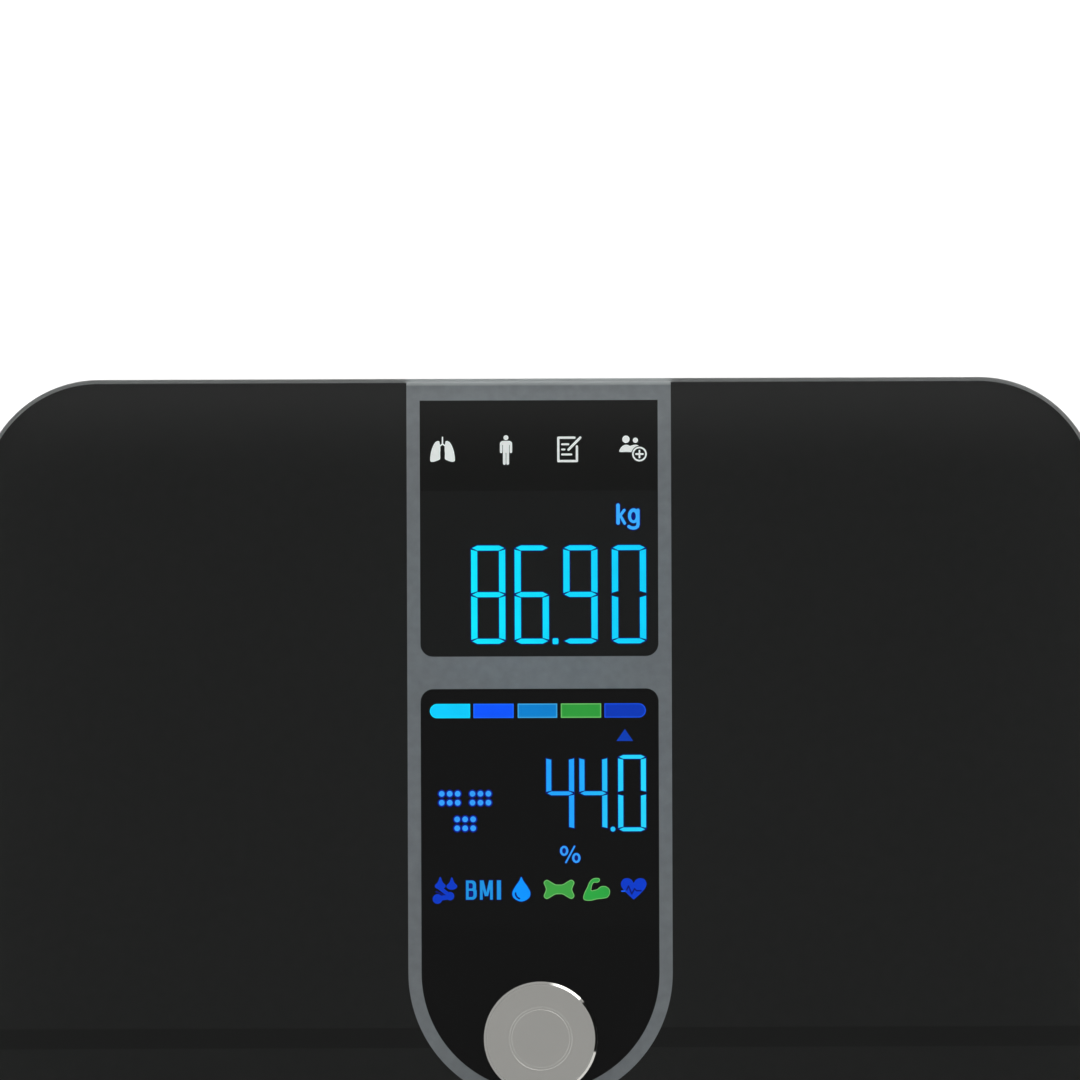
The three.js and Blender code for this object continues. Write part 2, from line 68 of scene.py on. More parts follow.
class Graph:
    """A node tree with short calls for adding and joining nodes."""

    def __init__(self, tree):
        self.tree = tree
        tree.nodes.clear()

    def add(self, kind, inputs=(), **settings):
        node = self.tree.nodes.new(kind)
        for key, value in settings.items():
            setattr(node, key, value)
        for key, value in dict(inputs).items():
            self.feed(node.inputs[key], value)
        return node

    def feed(self, socket, value):
        if isinstance(value, bpy.types.NodeSocket):
            self.tree.links.new(value, socket)
        else:
            socket.default_value = value

    def math(self, operation, *values):
        node = self.add("ShaderNodeMath", operation=operation)
        for socket, value in zip(node.inputs, values):
            self.feed(socket, value)
        return node.outputs[0]

    def spread(self, value, low, high, to_low, to_high, kind="LINEAR"):
        """value moved from the range low..high to the range to_low..to_high, and held there."""
        node = self.add(
            "ShaderNodeMapRange",
            {"Value": value, "From Min": low, "From Max": high, "To Min": to_low, "To Max": to_high},
            interpolation_type=kind,
        )
        return node.outputs["Result"]

    def mix(self, factor, colour_a, colour_b):
        node = self.add("ShaderNodeMix", {0: factor}, data_type="RGBA")
        for index, colour in ((6, colour_a), (7, colour_b)):
            self.feed(node.inputs[index], (*colour, 1) if isinstance(colour, tuple) else colour)
        return node.outputs[2]

    def noise(self, scale, detail=3.0, stretch=(1, 1, 1)):
        place = self.add("ShaderNodeTexCoord").outputs["Object"]
        mapped = self.add("ShaderNodeMapping", {"Vector": place, "Scale": stretch}).outputs[0]
        settings = {"Vector": mapped, "Scale": scale, "Detail": detail}
        return self.add("ShaderNodeTexNoise", settings).outputs[0]

    def axis(self, name):
        place = self.add("ShaderNodeTexCoord").outputs["Object"]
        return self.add("ShaderNodeSeparateXYZ", {"Vector": place}).outputs[name]


def new_material(name, fixed):
    """A material with one Principled shader. fixed holds values set on the shader's own sockets."""
    made = bpy.data.materials.new(name)
    made.use_nodes = True
    graph = Graph(made.node_tree)
    shader = graph.add("ShaderNodeBsdfPrincipled", fixed)
    graph.add("ShaderNodeOutputMaterial", {"Surface": shader.outputs[0]})
    return made, graph, shader


def surface(name, colour, rough, tone=0.12, patch=60, grain=1800, bump=0.02, stretch=(1, 1, 1), **fixed):
    """A moulded, cast or rolled finish: a slow change of tone, uneven gloss and a fine relief.

    tone is the share by which the colour changes, and bump is the height of the relief in millimetres.
    """
    made, graph, shader = new_material(name, fixed)
    slow = graph.noise(patch, 2.0, stretch)
    fine = graph.noise(grain, 4.0, stretch)
    darker, lighter = (tuple(c * (1 + k * tone) for c in colour) for k in (-1, 1))
    blend = graph.spread(slow, 0.3, 0.7, 0, 1)
    gloss = graph.spread(fine, 0.3, 0.7, rough * 0.85, min(1, rough * 1.15))
    graph.feed(shader.inputs["Base Color"], graph.mix(blend, darker, lighter))
    graph.feed(shader.inputs["Roughness"], gloss)
    relief = graph.add("ShaderNodeBump", {"Strength": 1.0, "Distance": bump * MM, "Height": fine})
    graph.feed(shader.inputs["Normal"], relief.outputs[0])
    return made


def lit(name, left, right=None, x_range=(-30, 30), glow=1.1):
    """A lit display colour that may change from left to right, a little uneven like a real backlight."""
    fixed = {"Base Color": (0, 0, 0, 1), "Specular IOR Level": 0.0, "Emission Strength": 1.0}
    made, graph, shader = new_material(name, fixed)
    across = graph.spread(graph.axis("X"), x_range[0] * MM, x_range[1] * MM, 0, 1)
    uneven = graph.spread(graph.noise(140, 2.0), 0.3, 0.7, 0.0, 1.0)
    near, far = (tuple(c * glow for c in tone) for tone in (left, right or left))
    base = graph.mix(across, near, far)
    dimmer = graph.mix(across, tuple(c * 0.9 for c in near), tuple(c * 0.9 for c in far))
    graph.feed(shader.inputs["Emission Color"], graph.mix(uneven, dimmer, base))
    return made


def printed(name, colour, rough=0.55, gap=None, fade=None, glow=0.0):
    """Screen-printed ink seen through glass.

    gap is (half width, colour) of a strip along X at the middle, fade is (first y, last y, colour reached
    there), both in millimetres, and glow is the strength of a painted glow: light given off by the ink
    itself, so that it reads brighter than its colour alone.
    """
    made, graph, shader = new_material(name, {"Specular IOR Level": 0.0, "Emission Strength": glow})
    shader.inputs["Emission Color"].default_value = (*colour, 1)
    mottle = graph.spread(graph.noise(420, 4.0), 0.3, 0.7, 0, 1)
    ink = graph.mix(mottle, tuple(c * 0.93 for c in colour), tuple(c * 1.07 for c in colour))
    if gap:
        half, inside = gap
        from_middle = graph.math("ABSOLUTE", graph.axis("Y"))
        edge = graph.spread(from_middle, (half - 0.1) * MM, (half + 0.1) * MM, 0, 1)
        ink = graph.mix(edge, inside, ink)
    if fade:
        first, last, reached = fade
        ink = graph.mix(graph.spread(graph.axis("Y"), first * MM, last * MM, 0, 1), ink, reached)
    graph.feed(shader.inputs["Base Color"], ink)
    graph.feed(shader.inputs["Roughness"], graph.spread(mottle, 0, 1, rough * 0.9, rough * 1.1))
    return made


def clear_glass(name, scale, low_rough, high_rough, clarity=1.0):
    """Float glass with faint smears in its tint and gloss. clarity below 1 makes it a little milky."""
    made, graph, shader = new_material(name, {"Transmission Weight": clarity, "IOR": 1.52})
    smears = graph.noise(scale, 1.0, (1, 2.5, 1))
    blend = graph.spread(smears, 0.3, 0.7, 0, 1)
    graph.feed(shader.inputs["Base Color"], graph.mix(blend, (0.92, 0.98, 0.96), (0.94, 0.99, 0.97)))
    graph.feed(shader.inputs["Roughness"], graph.spread(smears, 0.64, 0.8, low_rough, high_rough))
    return made


def turned_metal():
    """Satin aluminium with fine turning rings round Z, polished beyond the face's edge."""
    made, graph, shader = new_material("badge_metal", {"Metallic": 1.0, "Anisotropic": 0.35})
    place = graph.add("ShaderNodeTexCoord").outputs["Object"]
    flat = graph.add("ShaderNodeVectorMath", {0: place, 1: (1, 1, 0)}, operation="MULTIPLY").outputs[0]
    radius = graph.add("ShaderNodeVectorMath", {0: flat}, operation="LENGTH").outputs["Value"]
    settings = {"W": radius, "Scale": 9000, "Detail": 2.0}
    rings = graph.add("ShaderNodeTexNoise", settings, noise_dimensions="1D").outputs[0]
    tone = graph.mix(rings, (0.71, 0.705, 0.665), (0.79, 0.78, 0.74))
    graph.feed(shader.inputs["Base Color"], tone)
    satin = graph.spread(rings, 0.3, 0.7, 0.3, 0.38)
    polished = graph.spread(radius, (BADGE_FACE - 0.05) * MM, BADGE_FACE * MM, 0, 1)
    gloss = graph.add("ShaderNodeMix", {0: polished, 2: satin, 3: 0.06}, data_type="FLOAT")
    graph.feed(shader.inputs["Roughness"], gloss.outputs[0])
    relief = graph.add("ShaderNodeBump", {"Strength": 0.5, "Distance": 0.003 * MM, "Height": rings})
    graph.feed(shader.inputs["Normal"], relief.outputs[0])
    return made


def cell_sleeve(low_y, high_y):
    """A dry cell: a dark sleeve with coloured collars, and bare metal at both ends, laid out along Y."""
    bare_width, collar_reach, blur = 1.5, 11.95, 0.1
    made, graph, shader = new_material("cell_sleeve", {})
    y = graph.axis("Y")
    middle, half = (low_y + high_y) / 2, (high_y - low_y) / 2
    out = graph.math("ABSOLUTE", graph.math("SUBTRACT", y, middle))
    bare = graph.spread(out, half - (bare_width + blur) * MM, half - (bare_width - blur) * MM, 0, 1)
    collar_end = half - collar_reach * MM
    collar = graph.spread(out, collar_end - blur / 2 * MM, collar_end + blur / 2 * MM, 0, 1)
    scuffs = graph.spread(graph.noise(900, 4.0), 0.35, 0.7, 0, 1)
    sleeve = graph.mix(scuffs, (0.018, 0.019, 0.024), (0.03, 0.032, 0.038))
    tinted = graph.mix(collar, sleeve, (0.62, 0.36, 0.12))
    graph.feed(shader.inputs["Base Color"], graph.mix(bare, tinted, (0.72, 0.72, 0.7)))
    metallic = graph.math("MAXIMUM", bare, graph.math("MULTIPLY", collar, 0.8))
    graph.feed(shader.inputs["Metallic"], metallic)
    graph.feed(shader.inputs["Roughness"], graph.spread(scuffs, 0, 1, 0.25, 0.38))
    return made


def circuit_board():
    """Solder mask over copper pours, with tinned pads on a grid."""
    made, graph, shader = new_material("circuit_board", {"Coat Weight": 0.3, "Coat Roughness": 0.1})
    place = graph.add("ShaderNodeTexCoord").outputs["Object"]
    pours = graph.add("ShaderNodeTexVoronoi", {"Vector": place, "Scale": 160.0}, distance="CHEBYCHEV")
    seam = graph.spread(pours.outputs["Distance"], 0.30, 0.34, 0, 1)
    mask = graph.mix(seam, (0.006, 0.10, 0.035), (0.003, 0.05, 0.018))
    dots = graph.add("ShaderNodeTexVoronoi", {"Vector": place, "Scale": 330.0, "Randomness": 0.35})
    pads = graph.spread(dots.outputs["Distance"], 0.16, 0.18, 1, 0)
    graph.feed(shader.inputs["Base Color"], graph.mix(pads, mask, (0.75, 0.74, 0.7)))
    graph.feed(shader.inputs["Metallic"], pads)
    graph.feed(shader.inputs["Roughness"], graph.spread(graph.noise(700), 0.3, 0.7, 0.3, 0.45))
    return made


BADGE_FACE = 13.6  # radius of the badge's satin face
BLACK_ABS = (0.012, 0.0123, 0.0128)
MATERIALS = {
    "glass": clear_glass("tempered_glass", 35, 0.0, 0.025),
    "ground": clear_glass("ground_glass", 900, 0.42, 0.5, clarity=0.94),
    "ink": printed("black_ink", (0.0195, 0.0195, 0.019), gap=(2.5, (0.0123, 0.0123, 0.0118))),
    "foam": surface("tape_foam", (0.018, 0.018, 0.02), 0.95, grain=3200, bump=0.06),
    "body_plastic": surface("body_abs", BLACK_ABS, 0.42, tone=0.1, grain=2600, bump=0.012),
    "badge_metal": turned_metal(),
    "lcd": surface("lcd_panel", (0.004, 0.0045, 0.005), 0.12, bump=0.0005, **{"Coat Weight": 0.6}),
    "light_box": surface("light_box", (0.78, 0.8, 0.82), 0.55, tone=0.03, **{"Subsurface Weight": 0.15}),
    "bezel": surface("bezel_abs", (0.62, 0.62, 0.6), 0.5, tone=0.04),
    "board": circuit_board(),
    "chip": surface("chip_resin", (0.012, 0.012, 0.013), 0.5, grain=4000, bump=0.01),
    "button": surface("button_abs", (0.035, 0.036, 0.038), 0.32, grain=2600, bump=0.004),
    "cell": cell_sleeve(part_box("battery_1")[0].y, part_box("battery_1")[1].y),
    "contact": surface("nickel_contact", (0.66, 0.64, 0.6), 0.22, tone=0.06, bump=0.004, Metallic=1.0),
    "steel": surface("rolled_steel", (0.42, 0.43, 0.44), 0.34, stretch=(1, 9, 1), bump=0.006, Metallic=1.0),
    "wire": surface("wire_sleeve", (0.66, 0.66, 0.63), 0.45, tone=0.05, bump=0.006),
    "rubber": surface("foot_rubber", (0.016, 0.016, 0.0165), 0.85, grain=3600, bump=0.03),
    "screw": surface("black_zinc", (0.10, 0.10, 0.105), 0.34, grain=2400, bump=0.004, Metallic=1.0),
}
SLOT_OF = {row["node"]: row["material_slot"] for row in frame["record"]["subparts"]}


# ---------------------------------------------------------------- outlines, all in millimetres
def arc(cx, cy, radius, start, end, steps=24):
    """Points from angle start to angle end, in degrees, both included."""
    angles = (math.radians(start + (end - start) * i / steps) for i in range(steps + 1))
    return [(cx + radius * math.cos(a), cy + radius * math.sin(a)) for a in angles]


def disc(cx, cy, radius, steps=48):
    return arc(cx, cy, radius, 0, 360, steps)[:-1]


def oval(cx, cy, rx, ry, steps=40):
    return [(cx + (x - cx) * rx, cy + (y - cy) * ry) for x, y in disc(cx, cy, 1, steps)]


def box(x0, y0, x1, y1):
    return [(x0, y0), (x1, y0), (x1, y1), (x0, y1)]


def rounded(x0, y0, x1, y1, radii, steps=12):
    """A rectangle with its own corner radius at each corner, from the lower left and anticlockwise."""
    corners = [(x0, y0, 1, 1, 180), (x1, y0, -1, 1, 270), (x1, y1, -1, -1, 0), (x0, y1, 1, -1, 90)]
    points = []
    for (x, y, dx, dy, start), radius in zip(corners, radii):
        if radius:
            points += arc(x + dx * radius, y + dy * radius, radius, start, start + 90, steps)
        else:
            points.append((x, y))
    return points


def capsule(a, b, width, steps=8):
    """A straight stroke of a given width with round ends."""
    turn = math.degrees(math.atan2(b[1] - a[1], b[0] - a[0]))
    far = arc(*b, width / 2, turn - 90, turn + 90, steps)
    return far + arc(*a, width / 2, turn + 90, turn + 270, steps)


def stroke(points, width):
    """A round-ended line through points, as overlapping capsules."""
    return [capsule(a, b, width) for a, b in zip(points, points[1:])]


def smooth(points, steps=6):
    """A closed curve through points."""
    count, made = len(points), []
    for i in range(count):
        p = [Vector(points[(i + k) % count]) for k in (-1, 0, 1, 2)]
        for k in range(steps):
            t = k / steps
            square = (2 * p[0] - 5 * p[1] + 4 * p[2] - p[3]) * t**2
            cube = (3 * p[1] - p[0] - 3 * p[2] + p[3]) * t**3
            made.append(tuple(0.5 * (2 * p[1] + (p[2] - p[0]) * t + square + cube)))
    return made


def moved(loops, dx, dy):
    return [[(x + dx, y + dy) for x, y in loop] for loop in loops]


def mirrored(loop):
    return [(-x, y) for x, y in reversed(loop)]


def area(loop):
    return sum(a[0] * b[1] - b[0] * a[1] for a, b in zip(loop, loop[1:] + loop[:1])) / 2


def grown(loop, by):
    """A loop with every edge moved outwards by a distance, its corners cut where they would run far."""
    points = loop if area(loop) > 0 else loop[::-1]
    made = []
    for i, point in enumerate(points):
        before = (Vector(point) - Vector(points[i - 1])).normalized()
        after = (Vector(points[(i + 1) % len(points)]) - Vector(point)).normalized()
        normal = Vector((before.y + after.y, -before.x - after.x))
        reach = min(2.2, 2 / max(normal.length_squared, 0.01) * normal.length)
        made.append(tuple(Vector(point) + normal.normalized() * by * reach))
    return made


# ---------------------------------------------------------------- pieces
def piece(name, verts, faces, material, body=ROOT, slot=None, replaces=(), smooth_angle=None):
    """A mesh object that rides on a body. verts are in millimetres, in the frame's own axes."""
    mesh = bpy.data.meshes.new(name)
    mesh.from_pydata([Vector(v) * MM for v in verts], [], faces)
    mesh.materials.append(material)
    if smooth_angle:
        shade(mesh, smooth_angle)
    made = bpy.data.objects.new(name, mesh)
    bpy.context.scene.collection.objects.link(made)
    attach(made, body)
    if replaces:
        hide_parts(*replaces)
    return made


def plate(name, outlines, low, high, material, holes=(), **settings):
    """A flat piece between two heights: the union of some outlines less some holes."""
    points, polygons = [], []
    for loop in [*outlines, *holes]:
        polygons.append(list(range(len(points), len(points) + len(loop))))
        points += [Vector(p) for p in (loop if area(loop) > 0 else loop[::-1])]
    flat, _, triangles, _, _, sources = delaunay_2d_cdt(points, [], polygons, 0, 1e-4)
    kept = []
    for triangle, owners in zip(triangles, sources):
        if owners and max(owners) < len(outlines):
            kept.append(triangle)
    used = sorted({i for triangle in kept for i in triangle})
    rank = {old: new for new, old in enumerate(used)}
    kept = [[rank[i] for i in triangle] for triangle in kept]
    count = len(used)
    verts = [(*flat[i], high) for i in used] + [(*flat[i], low) for i in used]
    ways = {(t[k], t[(k + 1) % 3]) for t in kept for k in range(3)}
    rims = [(a, b) for a, b in ways if (b, a) not in ways]
    faces = kept + [[i + count for i in reversed(t)] for t in kept]
    faces += [[b, a, a + count, b + count] for a, b in sorted(rims)]
    return piece(name, verts, faces, material, **settings)


def stack(name, rings, material, smooth_angle=35, **settings):
    """A closed solid skinned over loops of equal length, each with a height, from the lowest up."""
    count = len(rings[0][0])
    verts = [(*p, z) for loop, z in rings for p in loop]
    faces = [list(range(count))[::-1], [len(verts) - count + i for i in range(count)]]
    for k in range(len(rings) - 1):
        for i in range(count):
            j, a, b = (i + 1) % count, k * count, (k + 1) * count
            faces.append([a + i, a + j, b + j, b + i])
    return piece(name, verts, faces, material, smooth_angle=smooth_angle, **settings)


def turned(name, profile, centre, material, steps, **settings):
    """A solid of revolution round Z from (radius, height) pairs, whose first and last are the flat caps."""
    rings = [(disc(*centre, radius, steps), z) for radius, z in profile]
    return stack(name, rings, material, **settings)


def shade(mesh, degrees):
    """Smooth shading over curves only: faces square to an axis stay flat, so that they mirror cleanly."""
    mesh.set_sharp_from_angle(angle=math.radians(degrees))
    curved = [max(map(abs, face.normal)) < 0.9999 for face in mesh.polygons]
    mesh.polygons.foreach_set("use_smooth", curved)


def node_mm(name):
    low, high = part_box(name)
    return low / MM, high / MM


glass_low, glass_high = node_mm("glass_platform")
GLASS_W, GLASS_D = glass_high.x - glass_low.x, glass_high.y - glass_low.y
GLASS_BOTTOM, GLASS_TOP = glass_low.z, glass_high.z
GLASS_R = 30.0


def platform_outline(inset, steps=48):
    half_w, half_d, radius = GLASS_W / 2 - inset, GLASS_D / 2 - inset, GLASS_R - inset
    return rounded(-half_w, -half_d, half_w, half_d, [radius] * 4, steps)


def build_glass():
    """The glass slab. Its upper arris is fine-ground, the rest polished."""
    flats = [(0.0, 1.0), (0.06, 0.72), (0.16, 0.52), (0.4, 0.26), (0.58, 0.13), (0.8, 0.03), (1.0, 0.0)]
    lower = [(platform_outline(inset), GLASS_BOTTOM + drop) for inset, drop in reversed(flats)]
    upper = [(platform_outline(inset), GLASS_TOP - drop) for inset, drop in flats]
    glass = MATERIALS["glass"]
    sheet = stack("glass_sheet", lower + upper, glass, slot="glass", replaces=["glass_platform"]).data
    sheet.materials.append(MATERIALS["ground"])
    on_arris = [int(0.05 < face.normal.z < 0.9999) for face in sheet.polygons]
    sheet.polygons.foreach_set("material_index", on_arris)


# Ink sinks this far into the underside of the glass, so that no film of air shows between the two.
BLACK_TOP, PANEL_TOP, GREY_TOP, WHITE_TOP = (GLASS_BOTTOM + step for step in (0.03, 0.05, 0.08, 0.11))
HALO_TOP, FILL_TOP, TRIM_TOP = (GLASS_BOTTOM + step for step in (0.08, 0.11, 0.14))
PRINT_INSET = 0.7
PRINT_BOTTOM = node_mm("printed_mask")[0].z

COLUMN_HALF = 33.1
WINDOW_HALF = 29.8
COLUMN_END = 16.2
CORNER = 3.2
UPPER_WINDOW_TOP = 159.6
UPPER_WINDOW_END = 95.45
UPPER_LCD_TOP = 136.95
LOWER_LCD_END = 27.7
LOWER_WINDOW_TOP = 87.35


def lower_window(top=LOWER_WINDOW_TOP, bottom=None):
    """The lower window, or its part below or above a height: straight sides and a half-round end."""
    if bottom is None:
        foot = arc(0, COLUMN_END, WINDOW_HALF, 180, 360, 64)
    else:
        foot = [(-WINDOW_HALF, bottom), (WINDOW_HALF, bottom)]
    radius = CORNER if top == LOWER_WINDOW_TOP else 0.2
    right = arc(WINDOW_HALF - radius, top - radius, radius, 0, 90, 12)
    left = arc(radius - WINDOW_HALF, top - radius, radius, 90, 180, 12)
    return foot + right + left


def upper_window(bottom, top, radius):
    return rounded(-WINDOW_HALF, bottom, WINDOW_HALF, top, [radius, radius, 0, 0])


def build_print():
    """The print under the glass: black all over, a grey band round the display column, black windows."""
    windows = [upper_window(UPPER_WINDOW_END, UPPER_WINDOW_TOP, CORNER), lower_window()]
    far = GLASS_D / 2 - PRINT_INSET
    column = arc(0, COLUMN_END, COLUMN_HALF, 180, 360, 64) + [(COLUMN_HALF, far), (-COLUMN_HALF, far)]
    whole = platform_outline(PRINT_INSET, 24)
    settings = {"slot": "ink", "replaces": ["printed_mask"]}
    plate("black_print", [whole], PRINT_BOTTOM, BLACK_TOP, MATERIALS["ink"], windows, **settings)
    # Light that comes in through the ground arris brightens the grey along the far edge.
    lifted = (far - 1.1, far + 0.1, (0.92, 0.93, 0.95))
    grey = printed("grey_ink", (0.305, 0.316, 0.338), 0.5, fade=lifted)
    plate("grey_band", [column], BLACK_TOP - 0.01, GREY_TOP, grey, windows, slot="ink")
    dark = printed("window_ink", (0.0077, 0.0077, 0.007))
    darker = printed("window_ink_deep", (0.0022, 0.0022, 0.0022))
    upper = upper_window(UPPER_LCD_TOP, UPPER_WINDOW_TOP, 0)
    lower = lower_window(top=LOWER_LCD_END)
    plate("upper_window_print", [upper], PRINT_BOTTOM, PANEL_TOP, dark, slot="ink")
    plate("lower_window_print", [lower], PRINT_BOTTOM, PANEL_TOP, darker, slot="ink")


def build_displays():
    """Each panel is a glass cell below the print and a dark front film that fills its window."""
    film_upper = printed("upper_film", (0.0139, 0.0139, 0.0136))
    film_lower = printed("lower_film", (0.0034, 0.0034, 0.0034))
    upper = upper_window(UPPER_WINDOW_END, UPPER_LCD_TOP, CORNER)
    lower = lower_window(bottom=LOWER_LCD_END)
    for name, outline, film in (("upper", upper, film_upper), ("lower", lower, film_lower)):
        low, high = node_mm(f"{name}_lcd")
        plate(f"{name}_panel_film", [outline], high.z, PANEL_TOP, film, slot="lcd")
        rear = rounded(low.x, low.y, high.x, high.y, [0.6] * 4, 4)
        front = rounded(low.x + 1.2, low.y + 1.2, high.x - 1.2, high.y - 1.2, [0.4] * 4, 4)
        step = low.z + 1.1
        rings = [(rear, low.z), (rear, step), (front, step), (front, high.z)]
        stack(f"{name}_panel", rings, MATERIALS["lcd"], slot="lcd", replaces=[f"{name}_lcd"])


# ---------------------------------------------------------------- lit figures and marks
def figure_segments(lit_segments, x, y, width, height, upright, bar):
    """The lit segments of one seven-segment figure whose lower left corner is (x, y)."""
    tip, lift, seam = 0.25, 0.38, 0.2
    levels = {"d": bar / 2, "g": height / 2, "a": height - bar / 2}

    def flat(level):
        c, left, right = levels[level], upright, width - upright
        low, high = c - bar / 2, c + bar / 2
        return [(tip, c), (left, low), (right, low), (width - tip, c), (right, high), (left, high)]

    def side(below, above, right):
        low, high = levels[below], levels[above]
        near, far = (width, width - upright) if right else (0, upright)
        inner_low, inner_high = low + bar / 2 + seam, high - bar / 2 - seam
        return [(near, low + lift), (far, inner_low), (far, inner_high), (near, high - lift)]

    shapes = {
        "a": flat("a"),
        "g": flat("g"),
        "d": flat("d"),
        "f": side("g", "a", False),
        "b": side("g", "a", True),
        "e": side("d", "g", False),
        "c": side("d", "g", True),
    }
    return moved([shapes[s] for s in lit_segments], x, y)


SEGMENTS = {"8": "abcdefg", "6": "acdefg", "9": "abcdfg", "0": "abcdef", "4": "bcfg"}
NAVY = lit("display_navy", srgb(0, 14, 108))


def show(name, outlines, top, material, holes=()):
    """A lit shape on the front film of a display."""
    plate(name, outlines, PANEL_TOP - 0.01, top, material, holes, slot="lcd")


def mark(name, outlines, material, holes=(), halo=0.22, fringe_material=NAVY):
    """A lit mark with a thin dark blue fringe round it."""
    show(name, outlines, FILL_TOP, material, holes)
    show(f"{name}_fringe", [grown(loop, halo) for loop in outlines], HALO_TOP, fringe_material)


def build_weight():
    """The large figures and the unit in the upper window."""
    cyan = lit("figures_cyan", srgb(0, 230, 255), srgb(0, 210, 255), (-17, 18))
    row = {"8": -17.05, "6": -6.15, "9": 6.05, "0": 18.2}
    shape = {"y": 98.65, "width": 8.55, "height": 24.6, "upright": 1.55, "bar": 1.25}
    figures = [loop for c, x in row.items() for loop in figure_segments(SEGMENTS[c], x, **shape)]
    point = rounded(3.3, 98.5, 4.75, 100.0, [0.35] * 4, 4)
    mark("weight_figures", figures + [point], cyan)
    blue = lit("unit_blue", srgb(56, 172, 255))
    letter_k = stroke([(19.8, 133.25), (19.8, 128.8)], 0.9)
    letter_k += stroke([(21.35, 132.0), (20.35, 130.7), (21.45, 128.7)], 0.7)
    tail = [(24.8, 128.4), (24.65, 127.9), (24.2, 127.6), (23.6, 127.5), (23.0, 127.6), (22.5, 127.9)]
    letter_g = [oval(23.7, 130.6, 1.42, 1.85)] + stroke([(24.8, 132.0), *tail], 0.8)
    mark("unit_kg", letter_k + letter_g, blue, [oval(23.65, 130.5, 0.58, 1.05)])


def build_readings():
    """The coloured bar with its pointer, the dot groups and the percentage in the lower window."""
    ends = {
        "low": (-27.5, -17.4),
        "normal": (-16.6, -6.5),
        "good": (-5.5, 4.4),
        "high": (5.3, 15.4),
        "top": (16.2, 26.6),
    }
    fills = {
        "low": (srgb(0, 204, 255), srgb(0, 216, 255)),
        "normal": (srgb(0, 84, 255), srgb(20, 104, 255)),
        "good": (srgb(0, 128, 208), srgb(60, 165, 225)),
        "high": (srgb(46, 152, 58), srgb(105, 190, 100)),
        "top": (srgb(0, 54, 182), srgb(16, 78, 225)),
    }
    bottom, top, trim = 80.05, 83.65, 0.28
    for name, (x0, x1) in ends.items():
        round_left, round_right = (1.8 if name == "low" else 0.1), (1.8 if name == "top" else 0.1)
        radii = [round_left, round_right, round_right, round_left]
        fill, rim = (lit(f"bar_{name}_{part}", tone) for part, tone in zip(("fill", "rim"), fills[name]))
        outer = rounded(x0, bottom, x1, top, radii, 10)
        inner_radii = [max(radius - trim, 0.05) for radius in radii]
        inner = rounded(x0 + trim, bottom + trim, x1 - trim, top - trim, inner_radii, 10)
        show(f"bar_{name}_rim", [outer], FILL_TOP, rim)
        show(f"bar_{name}_fill", [inner], TRIM_TOP, fill)
    pointer = [(19.2, 74.2), (23.4, 74.2), (21.3, 77.2)]
    show("bar_pointer", [pointer], FILL_TOP, lit("pointer_blue", srgb(0, 60, 180)))

    blue = lit("reading_blue", srgb(28, 164, 255), srgb(34, 214, 255), (9, 22))
    shape = {"y": 51.6, "width": 6.95, "height": 19.1, "upright": 1.25, "bar": 0.95}
    row = [("4", 1.6), ("4", 9.9), ("0", 19.6)]
    figures = [loop for c, x in row for loop in figure_segments(SEGMENTS[c], x, **shape)]
    mark("reading_figures", figures + [disc(18.25, 52.15, 0.6)], blue)

    pale = lit("marks_blue", srgb(50, 158, 255))
    glow_blue = lit("marks_fringe", srgb(0, 24, 140))
    for name, cx, cy in (("left", -22.6, 60.0), ("middle", -14.9, 60.0), ("below", -18.75, 53.6)):
        dots = [disc(cx + 2.0 * i, cy + 1.12 * j, 0.72, 24) for i in (-1, 0, 1) for j in (-1, 1)]
        mark(f"dots_{name}", dots, pale, halo=0.34, fringe_material=glow_blue)
    rings = [oval(6.0, 46.75, 1.05, 1.25), oval(9.05, 44.95, 1.05, 1.25)]
    eyes = [oval(6.0, 46.75, 0.48, 0.72), oval(9.05, 44.95, 0.48, 0.72)]
    mark("percent_sign", rings + stroke([(8.6, 47.85), (6.45, 43.85)], 0.4), pale, eyes, halo=0.15)


def letters_bmi(x, y, height):
    """The generic short name of the body mass index, as outlines and holes, from its lower left corner."""
    pen = 0.66
    letter_b = rounded(0, 0, 2.65, height * 0.56, [0, 1.1, 0.6, 0], 6)
    upper_b = rounded(0, height * 0.46, 2.5, height, [0, 0.5, 1.0, 0], 6)
    holes = [rounded(pen, pen, 1.85, height * 0.46, [0.1, 0.45, 0.3, 0.1], 4)]
    holes.append(rounded(pen, height * 0.58, 1.7, height - pen, [0.1, 0.3, 0.45, 0.1], 4))
    mid = 5.1
    letter_m = [box(3.5, 0, 3.5 + pen, height), box(2 * mid - 3.5 - pen, 0, 2 * mid - 3.5, height)]
    for side in (-1, 1):
        edge = mid + side * (mid - 3.5)
        top = [(edge, height), (edge - side * 0.9, height)]
        foot = [(mid - side * 0.2, 0.9), (mid + side * 0.4, 0.9)]
        letter_m.append(top + foot)
    letter_i = box(7.75, 0, 7.75 + 1.0, height)
    shapes = [letter_b, upper_b, *letter_m, letter_i]
    return moved(shapes, x, y), moved(holes, x, y)


